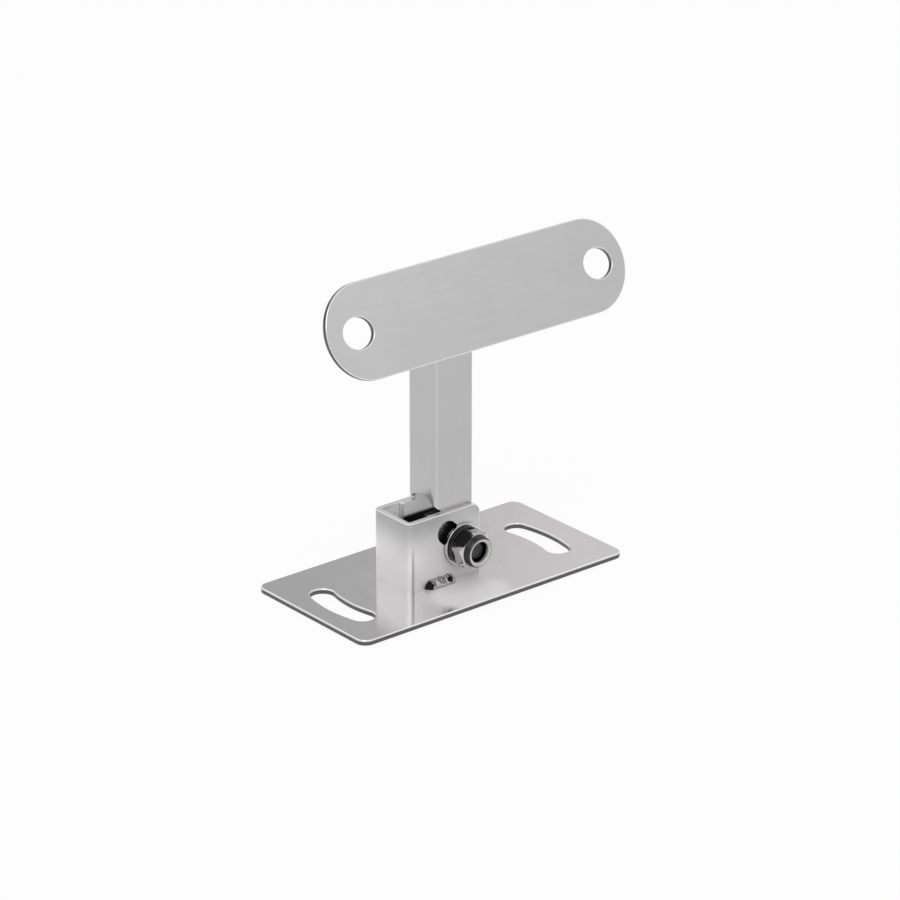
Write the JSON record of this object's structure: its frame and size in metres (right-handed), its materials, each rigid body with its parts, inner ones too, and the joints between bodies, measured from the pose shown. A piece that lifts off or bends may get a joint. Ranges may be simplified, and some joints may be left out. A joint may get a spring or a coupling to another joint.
{
  "type": "speaker wall bracket",
  "caption": "Tilting loudspeaker wall bracket: slotted wall plate, folded holder, clamped channel arm and leaning plate.",
  "frame": {"origin": "middle of the wall plate's back face", "axes": "+X along the wall plate's long side, towards the holder's open side; +Y to the back of the pictured view; +Z away from the wall, up the arm"},
  "size_m": [0.1425, 0.061, 0.118],
  "materials": {
    "zinc_steel": "bright zinc plate, smooth with light rolling marks",
    "nylon": "natural white ring"
  },
  "bodies": {
    "wall_bracket": {"wall_plate": "zinc_steel", "holder_channel": "zinc_steel", "holder_weld_front": "zinc_steel", "holder_weld_back": "zinc_steel"},
    "clamp": {"pivot_bolt": "zinc_steel", "washer_front": "zinc_steel", "washer_back": "zinc_steel", "spring_washer": "zinc_steel", "lock_nut": "zinc_steel", "lock_nut_insert": "nylon"},
    "arm": {"arm_channel": "zinc_steel", "speaker_plate": "zinc_steel", "plate_weld_web": "zinc_steel", "plate_weld_flange": "zinc_steel"}
  },
  "joints": [
    {"name": "clamp_slide", "type": "slide", "parent": "wall_bracket", "child": "clamp", "axis": [-0.7254, 0, 0.6884], "range_m": [0, 0.0086]},
    {"name": "arm_tilt", "type": "hinge", "parent": "clamp", "child": "arm", "pos_m": [0.0006, 0.0002, 0.015], "axis": [0, 1, 0], "range_deg": [-9, 90]}
  ]
}
